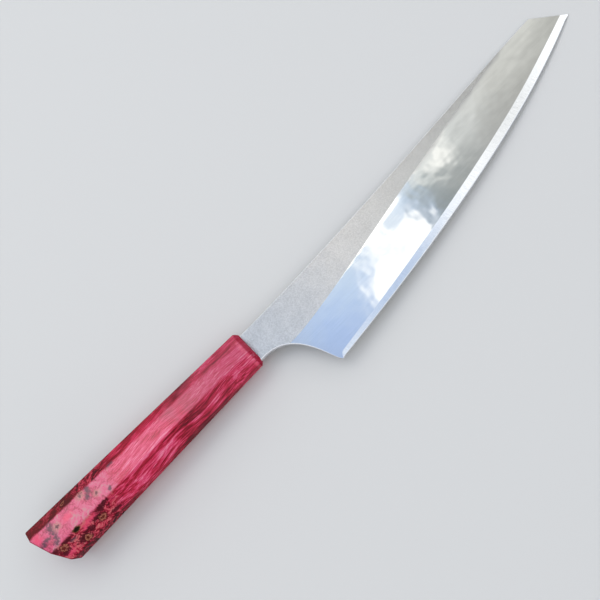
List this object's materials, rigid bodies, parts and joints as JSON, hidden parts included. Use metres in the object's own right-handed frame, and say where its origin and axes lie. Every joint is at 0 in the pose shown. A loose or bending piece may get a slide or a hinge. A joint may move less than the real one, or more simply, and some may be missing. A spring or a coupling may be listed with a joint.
{
  "type": "chef knife",
  "caption": "Chef knife with a clipped tip: double-ground blade with a curved choil and hidden tang in a tapered octagonal burl handle with a slanted butt.",
  "frame": {"origin": "middle of the footprint, at the lowest point of the handle's side", "axes": "+X from the butt to the tip, +Y from the cutting edge to the spine, +Z square to the blade's middle plane"},
  "size_m": [0.3754, 0.056, 0.023],
  "materials": {
    "blade_steel": "satin flat above the grind line, polished main bevel, fine cross-ground cutting bevel",
    "handle_burl": "red-dyed stabilised burl, polished to a gloss",
    "bed_resin": "cured resin"
  },
  "bodies": {
    "root": {"blade": "blade_steel", "handle_block": "handle_burl", "resin_bed": "bed_resin"}
  },
  "joints": []
}
